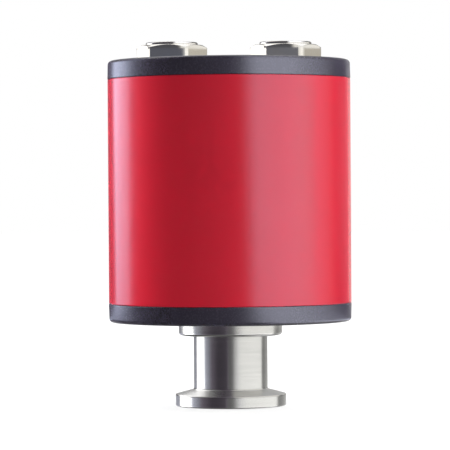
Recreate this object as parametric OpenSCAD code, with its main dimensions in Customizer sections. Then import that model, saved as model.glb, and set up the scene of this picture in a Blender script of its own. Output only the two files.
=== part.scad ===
// Pirani vacuum gauge: a painted sleeve between two moulded caps, standing on a turned stainless
// vacuum port with a clamp flange, with two round cable sockets on top.
// Millimetres. Z is the axis of the gauge and z = 0 is the sealing face of the flange.
// The front of the gauge faces -Y and the two sockets lie along X.

/* [Vacuum port] */
// Outer diameter of the clamp flange
flange_d = 30; // [28:0.5:34]
// Height of the straight rim of the flange
flange_rim_h = 3.2; // [2.9:0.1:4.5]
// Slope of the clamping taper behind the rim, in degrees
flange_taper_deg = 15; // [10:1:20]
// Rounding of the turned edges of the flange and the spigot
turned_edge_r = 0.4; // [0.1:0.1:0.7]
// Diameter of the recess that takes the centring ring
centring_d = 17.2; // [16.8:0.1:18.5]
// Depth of the recess that takes the centring ring
centring_depth = 2.6; // [2:0.1:3]
// Bore of the vacuum port
port_bore_d = 16; // [14:0.1:16.4]
// Outer diameter of the neck
neck_d = 20; // [19:0.5:22]
// Fillet between the taper and the neck
neck_fillet_r = 0.5; // [0.2:0.1:1.5]
// Height of the underside of the collar above the sealing face
collar_z = 19.1; // [16:0.1:30]
// Outer diameter of the collar that carries the housing
collar_d = 28; // [27:0.5:34]
// Height of the collar
collar_h = 3.7; // [2.5:0.1:6]
// Rounding of the collar's lower edge
collar_edge_r = 0.8; // [0.2:0.1:1.2]
// Diameter of the threaded spigot that passes through the lower cap
spigot_d = 22; // [21:0.5:22.5]
// Height of the spigot above its nut
spigot_end_h = 1.3; // [0.5:0.1:3]
// Height of the nut on the spigot
spigot_nut_h = 4; // [3:0.5:6]
// Width across the flats of the nut on the spigot
spigot_nut_af = 27; // [26:0.5:30]

/* [Housing] */
// Outer diameter of the sleeve
sleeve_d = 65.7; // [63:0.1:80]
// Wall of the sleeve
sleeve_wall = 1.5; // [1:0.1:2.5]
// Length of the sleeve
sleeve_len = 60.6; // [55:0.1:90]
// Rounding of the edges where sleeve and caps meet
joint_edge_r = 0.25; // [0.1:0.05:0.4]
// How far the caps stand proud of the sleeve at the joint
cap_proud = 0.05; // [0:0.05:0.4]
// Height of the visible wall of each cap
cap_h = 5; // [4.5:0.1:9]
// Rounding of the outer edge of each cap
cap_edge_r = 1; // [0.5:0.1:3]
// Moulding draft of the caps' walls, in degrees
cap_draft_deg = 1.5; // [0:0.5:4]
// Thickness of the caps' flat plates
cap_plate_t = 3; // [2.5:0.1:4]
// Depth that the caps' rings reach into the sleeve
cap_ring_h = 5; // [4:0.5:8]
// Wall of the caps' rings
cap_ring_wall = 2.2; // [2:0.1:3]
// Length of the bosses under the upper cap
boss_len = 10.8; // [9.5:0.1:14]
// Diameter of the bosses under the upper cap
boss_d = 6.5; // [5.5:0.1:7]
// Thickness of the ribs between the bosses and the ring
rib_t = 1.6; // [1:0.1:2.5]

/* [Cable sockets] */
// Distance between the two sockets
socket_spacing = 30.8; // [28:0.2:34]
// Width across the flats of the socket hexagon
socket_hex_af = 17.1; // [16.6:0.1:19]
// Width of the strips beside the socket hexagon's upright edges that bend back
hex_roll_w = 1.2; // [0.5:0.1:2]
// How far these strips bend back, in degrees
hex_roll_deg = 10; // [4:1:15]
// Height of the socket hexagon
socket_hex_h = 4.2; // [2.5:0.1:6]
// Slope of the turned-off corners of the hexagons, in degrees
hex_chamfer_deg = 30; // [15:5:40]
// Diameter of the round rim above the hexagon
socket_rim_d = 14.1; // [13.6:0.1:15.5]
// Height of the round rim above the hexagon
socket_rim_h = 0.8; // [0.4:0.05:3]
// Rounding of the rim's outer edge
socket_rim_edge_r = 0.35; // [0.1:0.05:0.35]
// Bore of the socket, which is the outer diameter of its inner thread
socket_bore_d = 12; // [11.5:0.1:12]
// Chamfer at the mouth of the socket
socket_mouth_chamfer = 0.3; // [0.2:0.05:0.35]
// Diameter of the threaded body that passes through the upper cap
socket_body_d = 14; // [13.6:0.1:14.2]
// Length of the threaded body under the hexagon
socket_body_len = 8.6; // [7.8:0.1:9.2]
// Height of the nut on the threaded body
socket_nut_h = 3; // [2:0.1:3.6]
// Width across the flats of the nut on the threaded body
socket_nut_af = 17; // [16.5:0.5:19]
// How far the left socket's hexagon is turned, in degrees
left_socket_turn = -6.9; // [-30:0.1:30]
// How far the right socket's hexagon is turned, in degrees
right_socket_turn = -3.4; // [-30:0.1:30]
// Diameter of the contact carrier
insert_d = 8.4; // [7.8:0.1:9]
// Depth of the contact carrier's face below the rim
insert_recess = 0.6; // [0.2:0.1:1.5]
// Rounding of the contact carrier's face
insert_edge_r = 0.3; // [0.1:0.1:0.5]
// Height of the contact carrier's foot
insert_foot_h = 3; // [2:0.1:4]
// Width of the coding groove
key_w = 1.5; // [1:0.1:2]
// Depth of the coding groove
key_depth = 0.6; // [0.3:0.1:0.7]
// Diameter of the circle of the outer contacts
contact_circle_d = 5.4; // [4.8:0.1:5.8]
// Outer diameter of a contact
contact_d = 1.5; // [1.2:0.05:1.6]
// Bore of a contact
contact_bore_d = 1; // [0.8:0.05:1.05]
// Depth of the bore of a contact
contact_bore_depth = 8; // [4:0.5:9]
// Depth of the contacts below the carrier's face
contact_recess = 0.3; // [0.1:0.1:1]

/* [Sensor] */
// Thickness of the feedthrough header
header_t = 2; // [1.5:0.1:3]
// Width of the seat that the header rests on
header_seat = 1; // [0.5:0.1:1.5]
// Diameter of the posts that carry the filament
post_d = 0.8; // [0.7:0.05:1.2]
// Diameter of the arms on the posts
arm_d = 0.6; // [0.4:0.05:0.65]
// Distance between the posts
post_spacing = 8; // [6:0.5:9]
// Diameter of the glass beads round the posts
glass_d = 3; // [2:0.1:3.4]
// Height of the lower arm above the sealing face
lower_arm_z = 9; // [6:0.5:12]
// Distance of the upper arm below the header
upper_arm_drop = 2.5; // [1.5:0.1:5]
// Outer diameter of the coiled filament
coil_d = 0.9; // [0.6:0.05:1.2]
// Diameter of the filament wire
wire_d = 0.16; // [0.1:0.02:0.24]
// Number of turns of the filament
coil_turns = 24; // [16:1:30]
// Length of the temperature probe
probe_len = 4; // [3:0.1:5]
// Width of the temperature probe
probe_w = 2.2; // [1.5:0.1:3]
// Height of the temperature probe
probe_h = 1.2; // [0.8:0.1:2]
// Distance of the temperature probe from the axis
probe_y = 5; // [3:0.1:6]
// Distance between the temperature probe's leads
probe_lead_spacing = 2; // [1.2:0.1:2.4]
// Diameter of the temperature probe's leads
probe_lead_d = 0.5; // [0.3:0.05:0.7]

/* [Chassis] */
// Thickness of the base plate
base_plate_t = 2; // [1.5:0.1:3]
// Thickness of the circuit boards
board_t = 1.6; // [1:0.1:2]
// Width across the flats of the hexagonal columns
column_af = 5.5; // [5:0.1:6.5]
// Thread diameter of the columns and the cap screws
column_thread_d = 3; // [2.5:0.1:3.2]
// Depth of the threaded bore in each column
column_bore_depth = 6; // [5.5:0.5:8]
// Length of stud that is screwed into the column below
stud_len = 4; // [3:0.5:5]
// Distance of the columns' axes from the boards' edge
column_inset = 3.6; // [3.3:0.1:5]
// Direction of the columns from the line of the sockets, in degrees
column_deg = 60; // [50:1:70]
// Length of the lower columns
lower_column_len = 12.3; // [11:0.1:16]
// Length of the middle columns
middle_column_len = 16.4; // [14:0.1:20]
// Length of cap screw that is screwed into the column below
screw_grip = 5; // [3:0.5:5]
// Diameter of the cap screws' heads
screw_head_d = 5.6; // [5:0.1:6]
// Width across the flats of the socket in the screw heads
screw_socket_af = 2; // [1.5:0.1:2.2]
// Depth of the socket in the screw heads
screw_socket_depth = 1.2; // [0.8:0.1:1.4]

/* [Electronics] */
// Diameter of the soldered tails and pins
tail_d = 0.8; // [0.5:0.05:0.85]
// Diameter of the holes for soldered tails and pins
tail_hole_d = 1; // [0.95:0.05:1.2]
// Length of the tails and pins past their board
tail_stick_out = 1; // [0.5:0.1:2]
// Side of the microcontroller
controller_side = 10; // [9:0.5:12]
// Height of the microcontroller
controller_h = 1.4; // [1:0.1:2.5]
// Leads on each side of the microcontroller
controller_leads = 11; // [8:1:11]
// Distance of the microcontroller's middle from the boards' edge
controller_inset = 14.25; // [12.5:0.05:16.5]
// Length of each bridge amplifier
amplifier_len = 5; // [4.8:0.1:8]
// Width of each bridge amplifier
amplifier_w = 4; // [3:0.1:6]
// Height of each bridge amplifier
amplifier_h = 1.6; // [1:0.1:2.5]
// Leads on each side of a bridge amplifier
amplifier_leads = 4; // [2:1:4]
// Distance of each bridge amplifier's middle from the boards' edge
amplifier_inset = 14.25; // [11.5:0.05:17.5]
// Spacing of the microcontroller's leads
controller_lead_pitch = 0.8; // [0.5:0.05:0.8]
// Spacing of a bridge amplifier's leads
amplifier_lead_pitch = 1.27; // [0.65:0.01:1.27]
// Length of the power converter
converter_len = 20; // [16:0.5:21]
// Width of the power converter
converter_w = 12; // [8:0.5:14]
// Height of the power converter
converter_h = 8; // [5:0.5:12]
// Distance of the power converter's middle from the boards' edge
converter_inset = 17.15; // [15.5:0.05:17.5]
// Distance of the power converter's pins from its edges
converter_pin_inset = 2; // [1:0.1:3]
// Diameter of the electrolytic capacitors
capacitor_d = 6.3; // [4:0.1:7]
// Height of the electrolytic capacitors
capacitor_h = 7.7; // [5:0.1:12]
// Distance of the electrolytic capacitors' axes from the boards' edge, along the line to the front
capacitor_inset = 7.15; // [6.5:0.05:8.5]
// Gap between the electrolytic capacitors
capacitor_gap = 1.6; // [0.5:0.1:2]
// Depth of the crimp round the electrolytic capacitors
crimp_depth = 0.3; // [0.1:0.05:0.5]
// Number of pins in each board-to-board link
link_count = 5; // [3:1:6]
// Spacing of the link pins
link_pitch = 2.54; // [2:0.01:2.54]
// Width of the link strips
link_w = 2.5; // [2:0.1:3]
// Height of the link sockets
link_socket_h = 8.5; // [7:0.5:9]
// Height of the bars that hold the link pins
link_bar_h = 2.5; // [2:0.1:3]
// Width of a link pin
link_pin_w = 0.64; // [0.5:0.02:0.64]
// Depth that the link pins enter their socket
link_entry = 5.5; // [4:0.1:6]
// Distance of the link strips' middle from the boards' edge
link_inset = 14.25; // [13.5:0.05:16.5]

/* [Seals and clearances] */
// Cord of the rings between the caps and the sleeve
sleeve_seal_cord = 1.5; // [1.2:0.1:1.7]
// Cord of the ring in the collar
collar_seal_cord = 1.4; // [1:0.1:1.6]
// Cord of the rings under the socket hexagons
socket_seal_cord = 1; // [0.7:0.1:1]
// Height of a squeezed ring as a share of its cord
seal_squeeze = 0.8; // [0.7:0.05:0.9]
// Width of a ring's groove as a share of its cord
seal_room = 1.15; // [1.05:0.05:1.2]
// Clearance of pieces that are fused, pressed or screwed together
fit_gap = 0.02; // [0.01:0.01:0.04]
// Clearance of pieces that are dropped over one another
drop_gap = 0.1; // [0.05:0.05:0.15]
// Radial clearance of the caps' rings in the sleeve
ring_gap = 0.1; // [0.05:0.05:0.2]
// Clearance round the circuit boards
board_gap = 0.5; // [0.3:0.1:1]

/* [Hidden] */
$fn = 96;
// Degrees of arc to each step of a rounded corner
arc_step_deg = 11.25;
// Overshoot of cutting shapes
cut = 1;
// Depth that the joined shapes of one piece reach into each other
sink = 0.5;
// Start of a hexagon's chamfer as a share of its width across the flats
hex_crown = 0.98;
// Steps to each turn of the filament, and sides of its wire
coil_steps = 12;
wire_sides = 5;
// Section and shape of the chips' bent leads
lead_w = 0.35;
lead_t = 0.15;
lead_knee = 0.5;
lead_toe = 1.1;

// Radii of the vacuum port
flange_r = flange_d / 2;
neck_r = neck_d / 2;
collar_r = collar_d / 2;
spigot_r = spigot_d / 2;
port_bore_r = port_bore_d / 2;
centring_r = centring_d / 2;
header_r = port_bore_r + header_seat;
collar_groove_r = (spigot_r + collar_r) / 2;

// Levels from the sealing face upwards
taper_top_z = flange_rim_h + (flange_r - neck_r) * tan(flange_taper_deg);
collar_top_z = collar_z + collar_h;
lower_joint_z = collar_top_z + cap_h;
upper_joint_z = lower_joint_z + sleeve_len;
cap_top_z = upper_joint_z + cap_h;
plate_under_z = cap_top_z - cap_plate_t;
base_plate_z = collar_top_z + cap_plate_t;
base_plate_top_z = base_plate_z + base_plate_t;
spigot_top_z = base_plate_top_z + spigot_nut_h + spigot_end_h;
header_z = spigot_top_z - header_t;
upper_arm_z = header_z - upper_arm_drop;
sensor_board_z = base_plate_top_z + lower_column_len;
sensor_board_top_z = sensor_board_z + board_t;
main_board_z = sensor_board_top_z + middle_column_len;
main_board_top_z = main_board_z + board_t;
connector_board_top_z = plate_under_z - boss_len;
connector_board_z = connector_board_top_z - board_t;
upper_column_len = connector_board_z - main_board_top_z;

// Radii of the housing
sleeve_r = sleeve_d / 2;
sleeve_bore_r = sleeve_r - sleeve_wall;
cap_r = sleeve_r + cap_proud;
cap_face_r = cap_r - cap_h * tan(cap_draft_deg);
ring_r = sleeve_bore_r - ring_gap;
ring_bore_r = ring_r - cap_ring_wall;
board_r = ring_bore_r - board_gap;
column_r = board_r - column_inset;

// Places of the pieces on the boards
controller_x = board_r - controller_inset;
amplifier_x = board_r - amplifier_inset;
converter_x = board_r - converter_inset;
capacitor_y = board_r - capacitor_inset;
link_y = board_r - link_inset;

// Sockets, with heights from the upper cap's face
socket_rim_z = socket_hex_h + socket_rim_h;
insert_face_z = socket_rim_z - insert_recess;
insert_foot_z = insert_foot_h - socket_body_len;
socket_body_r = socket_body_d / 2;
socket_hole_r = socket_body_r + drop_gap;
socket_seal_r = socket_hole_r + socket_seal_cord * seal_room;

// Outlines with rounded corners

function unit(v) = v / norm(v);

// Points of the arc of radius r that rounds the corner b between a and c
function corner_arc(a, b, c, r) =
    let (
        to_a = unit(a - b),
        to_c = unit(c - b),
        half = acos(to_a * to_c) / 2,
        reach = r / tan(half),
        centre = b + unit(to_a + to_c) * r / sin(half),
        from = b + to_a * reach - centre,
        onto = b + to_c * reach - centre,
        start = atan2(from.y, from.x),
        sweep = (atan2(onto.y, onto.x) - start + 540) % 360 - 180,
        steps = max(2, ceil(abs(sweep) / arc_step_deg))
    )
    [for (i = [0:steps]) centre + r * [cos(start + sweep * i / steps), sin(start + sweep * i / steps)]];

// Outline through corners given as [x, y, rounding]
function outline(corners) =
    let (n = len(corners), p = [for (c = corners) [c.x, c.y]])
    [for (i = [0:n - 1])
        each corners[i].z > 0
            ? corner_arc(p[(i + n - 1) % n], p[i], p[(i + 1) % n], corners[i].z)
            : [p[i]]];

module revolve(corners) {
    rotate_extrude() polygon(outline(corners));
}

module hexagon(af, h) {
    cylinder(d = af / cos(30), h = h, $fn = 6);
}

// A point on the flat that faces the direction turn, at the distance v from the flat's middle
function on_flat(turn, r, v) = r * [cos(turn), sin(turn)] + v * [-sin(turn), cos(turn)];

// A hexagon whose flats bend back beside its upright edges
module rolled_hexagon(af, h) {
    half = af / 2 * tan(30) - hex_roll_w;
    bend = tan(hex_roll_deg);
    corner_r = (af / 2 + bend * half) / (1 + bend * tan(30)) / cos(30);
    linear_extrude(h)
        polygon([for (turn = [30:60:330])
            each [
                on_flat(turn, af / 2, -half),
                on_flat(turn, af / 2, half),
                corner_r * [cos(turn + 30), sin(turn + 30)]
            ]]);
}

// A hexagon with its upper corners turned off by a cone that starts just inside the flats
module chamfered_hexagon(af, h, rolled = false) {
    crown_r = af / 2 * hex_crown;
    outer_r = af / 2 / cos(30) + cut;
    drop = (outer_r - crown_r) * tan(hex_chamfer_deg);
    intersection() {
        if (rolled) {
            rolled_hexagon(af, h);
        } else {
            hexagon(af, h);
        }
        rotate_extrude()
            polygon([[0, -drop], [outer_r, -drop], [outer_r, h - drop], [crown_r, h], [0, h]]);
    }
}

// A round hole along z, from z = 0 up to h and cut on past both ends
module hole(d, h) {
    translate([0, 0, -cut]) cylinder(d = d, h = h + 2 * cut);
}

// A rubber ring squeezed on its sides or on its top and bottom, with its section centred at radius r
module squeezed_ring(r, cord, from_sides) {
    gap = cord * seal_squeeze - 2 * fit_gap;
    flat = from_sides ? [gap, 2 * cord] : [2 * cord, gap];
    rotate_extrude()
        translate([r, 0])
            intersection() {
                circle(d = cord);
                square(flat, center = true);
            }
}

// A bar centred on x and y, standing on z = 0
module bar(size) {
    translate([-size.x / 2, -size.y / 2, 0]) cube(size);
}

// Repeated places

module at_columns() {
    for (turn = [column_deg, 180 - column_deg, 180 + column_deg, -column_deg])
        rotate(turn) translate([column_r, 0, 0]) children();
}

module at_posts() {
    for (side = [-1, 1])
        translate([side * post_spacing / 2, 0, 0]) children();
}

module at_probe_leads() {
    for (side = [-1, 1])
        translate([side * probe_lead_spacing / 2, probe_y, 0]) children();
}

module at_converter_pins() {
    for (x = [-1, 1], y = [-1, 1])
        translate([
            converter_x + x * (converter_len / 2 - converter_pin_inset),
            y * (converter_w / 2 - converter_pin_inset),
            0
        ])
            children();
}

module at_link_pins(side) {
    for (i = [0:link_count - 1])
        translate([(i - (link_count - 1) / 2) * link_pitch, side * link_y, 0]) children();
}

module at_socket(side) {
    translate([side * socket_spacing / 2, 0, 0])
        rotate(side < 0 ? left_socket_turn : right_socket_turn)
            children();
}

module at_socket_face(side) {
    translate([0, 0, cap_top_z]) at_socket(side) children();
}

// The middle contact and the four round it
module at_contacts() {
    children();
    for (turn = [45:90:315])
        rotate(turn) translate([contact_circle_d / 2, 0, 0]) children();
}

// Vacuum port and sensor

// One turned piece: flange, taper, neck, collar with its seal groove, and threaded spigot
module flange_body() {
    groove_half_w = collar_seal_cord * seal_room / 2;
    groove_z = collar_top_z - collar_seal_cord * seal_squeeze;
    color([0.76, 0.76, 0.74])
        revolve([
            [centring_r, 0, 0],
            [flange_r, 0, turned_edge_r],
            [flange_r, flange_rim_h, turned_edge_r],
            [neck_r, taper_top_z, neck_fillet_r],
            [neck_r, collar_z, 0],
            [collar_r, collar_z, collar_edge_r],
            [collar_r, collar_top_z, 0],
            [collar_groove_r + groove_half_w, collar_top_z, 0],
            [collar_groove_r + groove_half_w, groove_z, 0],
            [collar_groove_r - groove_half_w, groove_z, 0],
            [collar_groove_r - groove_half_w, collar_top_z, 0],
            [spigot_r, collar_top_z, 0],
            [spigot_r, spigot_top_z, turned_edge_r],
            [header_r + fit_gap, spigot_top_z, 0],
            [header_r + fit_gap, header_z, 0],
            [port_bore_r, header_z, 0],
            [port_bore_r, centring_depth, 0],
            [centring_r, centring_depth, 0]
        ]);
}

module feedthrough_header() {
    color([0.62, 0.60, 0.56])
        translate([0, 0, header_z])
            difference() {
                cylinder(r = header_r, h = header_t);
                at_posts() hole(glass_d, header_t);
            }
}

module glass_seals() {
    color([0.45, 0.62, 0.60])
        translate([0, 0, header_z])
            at_posts()
                difference() {
                    cylinder(d = glass_d - 2 * fit_gap, h = header_t);
                    hole(post_d + 2 * fit_gap, header_t);
                }
}

// Two wires through the header, each with an arm that carries one end of the filament
module filament_posts() {
    color([0.70, 0.68, 0.62])
        for (side = [-1, 1]) {
            arm_z = side < 0 ? lower_arm_z : upper_arm_z;
            foot_z = arm_z - post_d / 2;
            translate([side * post_spacing / 2, 0, foot_z])
                cylinder(d = post_d, h = sensor_board_top_z + tail_stick_out - foot_z);
            translate([side * post_spacing / 2, 0, arm_z])
                rotate([0, -90 * side, 0])
                    cylinder(d = arm_d, h = post_spacing / 2 + coil_d / 2);
        }
}

// A coil of wire strung between the two arms, swept as rings of points along a helix
module filament() {
    coil_r = (coil_d - wire_d) / 2;
    low_z = lower_arm_z + (arm_d + wire_d) / 2;
    high_z = upper_arm_z - (arm_d + wire_d) / 2;
    rings = coil_turns * coil_steps;
    points = [
        for (i = [0:rings], s = [0:wire_sides - 1])
            let (
                turn = 360 * i / coil_steps,
                around = 360 * s / wire_sides,
                r = coil_r + wire_d / 2 * cos(around),
                z = low_z + (high_z - low_z) * i / rings + wire_d / 2 * sin(around)
            )
            [r * cos(turn), r * sin(turn), z]
    ];
    sides = [
        for (i = [0:rings - 1], s = [0:wire_sides - 1])
            let (a = i * wire_sides + s, b = i * wire_sides + (s + 1) % wire_sides)
            each [[a, b, b + wire_sides], [a, b + wire_sides, a + wire_sides]]
    ];
    ends = [
        [for (s = [wire_sides - 1:-1:0]) s],
        [for (s = [0:wire_sides - 1]) rings * wire_sides + s]
    ];
    color([0.35, 0.35, 0.37])
        polyhedron(points, concat(sides, ends));
}

module temperature_probe() {
    color([0.85, 0.83, 0.78])
        translate([0, 0, spigot_top_z]) {
            translate([0, probe_y, 0]) bar([probe_len, probe_w, probe_h]);
            at_probe_leads()
                cylinder(d = probe_lead_d, h = sensor_board_top_z + tail_stick_out - spigot_top_z);
        }
}

module collar_seal() {
    color([0.08, 0.08, 0.08])
        translate([0, 0, collar_top_z - collar_seal_cord * seal_squeeze / 2])
            squeezed_ring(collar_groove_r, collar_seal_cord, false);
}

// Housing

// Plate, drafted wall and inner ring shared by both caps, with the outer face on z = 0
module cap_shell(hole_r) {
    ring_end_z = cap_h + cap_ring_h;
    groove_z = cap_h + cap_ring_h / 2;
    groove_half_w = sleeve_seal_cord * seal_room / 2;
    groove_r = sleeve_bore_r - sleeve_seal_cord * seal_squeeze;
    revolve([
        [hole_r, 0, 0],
        [cap_face_r, 0, cap_edge_r],
        [cap_r, cap_h, joint_edge_r],
        [ring_r, cap_h, 0],
        [ring_r, groove_z - groove_half_w, 0],
        [groove_r, groove_z - groove_half_w, 0],
        [groove_r, groove_z + groove_half_w, 0],
        [ring_r, groove_z + groove_half_w, 0],
        [ring_r, ring_end_z, joint_edge_r],
        [ring_bore_r, ring_end_z, joint_edge_r],
        [ring_bore_r, cap_plate_t, board_gap],
        [hole_r, cap_plate_t, 0]
    ]);
}

module lower_cap() {
    color([0.17, 0.17, 0.19])
        translate([0, 0, collar_top_z]) cap_shell(spigot_r + drop_gap);
}

// The upper cap also has bosses for the cap screws, each tied to the ring by a rib
module upper_cap() {
    color([0.17, 0.17, 0.19])
        difference() {
            union() {
                translate([0, 0, cap_top_z]) mirror([0, 0, 1]) cap_shell(0);
                at_columns() {
                    translate([0, 0, connector_board_top_z]) cylinder(d = boss_d, h = boss_len + sink);
                    translate([0, -rib_t / 2, upper_joint_z - cap_ring_h])
                        cube([ring_bore_r + sink - column_r, rib_t, cap_ring_h + cap_h - cap_plate_t + sink]);
                }
            }
            at_columns() {
                translate([0, 0, connector_board_top_z])
                    hole(column_thread_d + 2 * drop_gap, boss_len + cap_plate_t);
                translate([0, 0, cap_top_z]) countersink();
            }
            for (side = [-1, 1])
                at_socket_face(side) {
                    translate([0, 0, -cap_plate_t]) hole(2 * socket_hole_r, cap_plate_t);
                    translate([0, 0, -socket_seal_cord * seal_squeeze])
                        cylinder(r = socket_seal_r, h = socket_seal_cord + cut);
                }
        }
}

// Cone for a countersunk head, with its mouth at z = 0 and cut on above it
module countersink() {
    mouth_r = screw_head_d / 2 + 2 * drop_gap;
    rotate_extrude()
        polygon([[0, -mouth_r], [mouth_r, 0], [mouth_r, cut], [0, cut]]);
}

module housing_sleeve() {
    color([0.78, 0.07, 0.16])
        revolve([
            [sleeve_bore_r, lower_joint_z, 0],
            [sleeve_r, lower_joint_z, joint_edge_r],
            [sleeve_r, upper_joint_z, joint_edge_r],
            [sleeve_bore_r, upper_joint_z, 0]
        ]);
}

module sleeve_seal(z) {
    mid_r = sleeve_bore_r - sleeve_seal_cord * seal_squeeze / 2;
    color([0.08, 0.08, 0.08])
        translate([0, 0, z]) squeezed_ring(mid_r, sleeve_seal_cord, true);
}

module lower_cap_seal() {
    sleeve_seal(lower_joint_z + cap_ring_h / 2);
}

module upper_cap_seal() {
    sleeve_seal(upper_joint_z - cap_ring_h / 2);
}

// Countersunk screws that pull the upper cap down onto the columns
module cap_screws() {
    head_r = screw_head_d / 2;
    shank_r = column_thread_d / 2 - fit_gap;
    head_z = cap_top_z - drop_gap;
    tip_z = connector_board_z - screw_grip;
    color([0.60, 0.60, 0.60])
        at_columns()
            difference() {
                rotate_extrude()
                    polygon([
                        [0, tip_z], [shank_r, tip_z], [shank_r, head_z - head_r + shank_r],
                        [head_r, head_z], [0, head_z]
                    ]);
                translate([0, 0, head_z - screw_socket_depth])
                    hexagon(screw_socket_af, screw_socket_depth + cut);
            }
}

// Chassis

module base_plate() {
    color([0.72, 0.73, 0.74])
        translate([0, 0, base_plate_z])
            difference() {
                cylinder(r = board_r, h = base_plate_t);
                hole(spigot_d + 2 * drop_gap, base_plate_t);
                at_columns() hole(column_thread_d, base_plate_t);
            }
}

module spigot_nut() {
    color([0.66, 0.66, 0.64])
        translate([0, 0, base_plate_top_z])
            difference() {
                chamfered_hexagon(spigot_nut_af, spigot_nut_h);
                hole(spigot_d + 2 * fit_gap, spigot_nut_h);
            }
}

// Four hexagonal columns with a stud below and a threaded bore above
module columns(foot_z, length, stud) {
    color([0.80, 0.70, 0.42])
        at_columns()
            translate([0, 0, foot_z]) {
                difference() {
                    hexagon(column_af, length);
                    translate([0, 0, length - column_bore_depth])
                        cylinder(d = column_thread_d, h = column_bore_depth + cut);
                }
                translate([0, 0, -stud]) cylinder(d = column_thread_d - 2 * fit_gap, h = stud + sink);
            }
}

module lower_columns() {
    columns(base_plate_top_z, lower_column_len, base_plate_t);
}

module middle_columns() {
    columns(sensor_board_top_z, middle_column_len, board_t + stud_len);
}

module upper_columns() {
    columns(main_board_top_z, upper_column_len, board_t + stud_len);
}

// Electronics

// A round board with its column holes; children are further holes through it
module board(z) {
    color([0.08, 0.36, 0.20])
        translate([0, 0, z])
            difference() {
                cylinder(r = board_r, h = board_t);
                at_columns() hole(column_thread_d + 2 * drop_gap, board_t);
                children();
            }
}

module sensor_board() {
    board(sensor_board_z) {
        at_posts() hole(post_d + 2 * drop_gap, board_t);
        at_probe_leads() hole(probe_lead_d + 2 * drop_gap, board_t);
    }
}

module main_board() {
    board(main_board_z) {
        at_link_pins(-1) hole(tail_hole_d, board_t);
        at_converter_pins() hole(tail_hole_d, board_t);
    }
}

module connector_board() {
    board(connector_board_z) {
        at_link_pins(1) hole(tail_hole_d, board_t);
        for (side = [-1, 1])
            at_socket(side) at_contacts() hole(tail_hole_d, board_t);
    }
}

// One bent lead that leaves a chip's side along +X at x = edge and stands on z = 0
module chip_lead(edge, h) {
    exit_z = (h - lead_t) / 2;
    rotate([90, 0, 0])
        translate([edge, 0, -lead_w / 2])
            linear_extrude(lead_w)
                polygon([
                    [-sink, exit_z + lead_t], [lead_knee, exit_z + lead_t], [lead_knee, lead_t],
                    [lead_toe, lead_t], [lead_toe, 0], [lead_knee - lead_t, 0],
                    [lead_knee - lead_t, exit_z], [-sink, exit_z]
                ]);
}

// A chip with a row of leads on each of the sides that face the given directions
module chip(length, width, h, leads, pitch, directions) {
    translate([0, 0, lead_t]) bar([length, width, h - lead_t]);
    for (turn = directions, i = [0:leads - 1])
        rotate(turn)
            translate([0, (i - (leads - 1) / 2) * pitch, 0])
                chip_lead((turn % 180 == 0 ? length : width) / 2, h);
}

module bridge_amplifiers() {
    color([0.10, 0.10, 0.11])
        for (side = [-1, 1])
            translate([side * amplifier_x, 0, sensor_board_top_z])
                chip(amplifier_len, amplifier_w, amplifier_h, amplifier_leads, amplifier_lead_pitch, [90, 270]);
}

module microcontroller() {
    color([0.10, 0.10, 0.11])
        translate([-controller_x, 0, main_board_top_z])
            chip(controller_side, controller_side, controller_h, controller_leads, controller_lead_pitch,
                [0, 90, 180, 270]);
}

// A potted block on four pins
module power_converter() {
    color([0.12, 0.12, 0.13])
        translate([0, 0, main_board_top_z]) {
            translate([converter_x, 0, 0]) bar([converter_len, converter_w, converter_h]);
            at_converter_pins()
                translate([0, 0, -board_t - tail_stick_out])
                    cylinder(d = tail_d, h = board_t + tail_stick_out + sink);
        }
}

// Two crimped capacitor cans between the front columns
module electrolytic_capacitors() {
    can_r = capacitor_d / 2;
    crimp_z = 4 * crimp_depth;
    color([0.74, 0.75, 0.77])
        for (side = [-1, 1])
            translate([side * (can_r + capacitor_gap / 2), -capacitor_y, main_board_top_z])
                revolve([
                    [0, 0, 0],
                    [can_r, 0, 0],
                    [can_r, crimp_z - crimp_depth, 0],
                    [can_r - crimp_depth, crimp_z, 0],
                    [can_r, crimp_z + crimp_depth, 0],
                    [can_r, capacitor_h, crimp_depth],
                    [0, capacitor_h, 0]
                ]);
}

// Strip of square holes that stands on a board
module link_socket(z, side) {
    hole_w = link_pin_w + 2 * drop_gap;
    color([0.09, 0.09, 0.09])
        difference() {
            translate([0, side * link_y, z]) bar([link_count * link_pitch, link_w, link_socket_h]);
            at_link_pins(side)
                translate([0, 0, z + link_socket_h - link_entry - drop_gap])
                    bar([hole_w, hole_w, link_entry + cut]);
        }
}

// Plastic bar under the board above, which holds the pins
module link_bar(board_z, side) {
    hole_w = link_pin_w + 2 * fit_gap;
    color([0.09, 0.09, 0.09])
        difference() {
            translate([0, side * link_y, board_z - link_bar_h])
                bar([link_count * link_pitch, link_w, link_bar_h]);
            at_link_pins(side)
                translate([0, 0, board_z - link_bar_h - cut])
                    bar([hole_w, hole_w, link_bar_h + 2 * cut]);
        }
}

module link_pins(socket_z, board_z, side) {
    tip_z = socket_z + link_socket_h - link_entry;
    color([0.83, 0.69, 0.36])
        at_link_pins(side)
            translate([0, 0, tip_z])
                bar([link_pin_w, link_pin_w, board_z + board_t + tail_stick_out - tip_z]);
}

module lower_link_socket() {
    link_socket(sensor_board_top_z, -1);
}

module lower_link_bar() {
    link_bar(main_board_z, -1);
}

module lower_link_pins() {
    link_pins(sensor_board_top_z, main_board_z, -1);
}

module upper_link_socket() {
    link_socket(main_board_top_z, 1);
}

module upper_link_bar() {
    link_bar(connector_board_z, 1);
}

module upper_link_pins() {
    link_pins(main_board_top_z, connector_board_z, 1);
}

// Cable sockets, drawn with z = 0 on the upper cap's face

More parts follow.
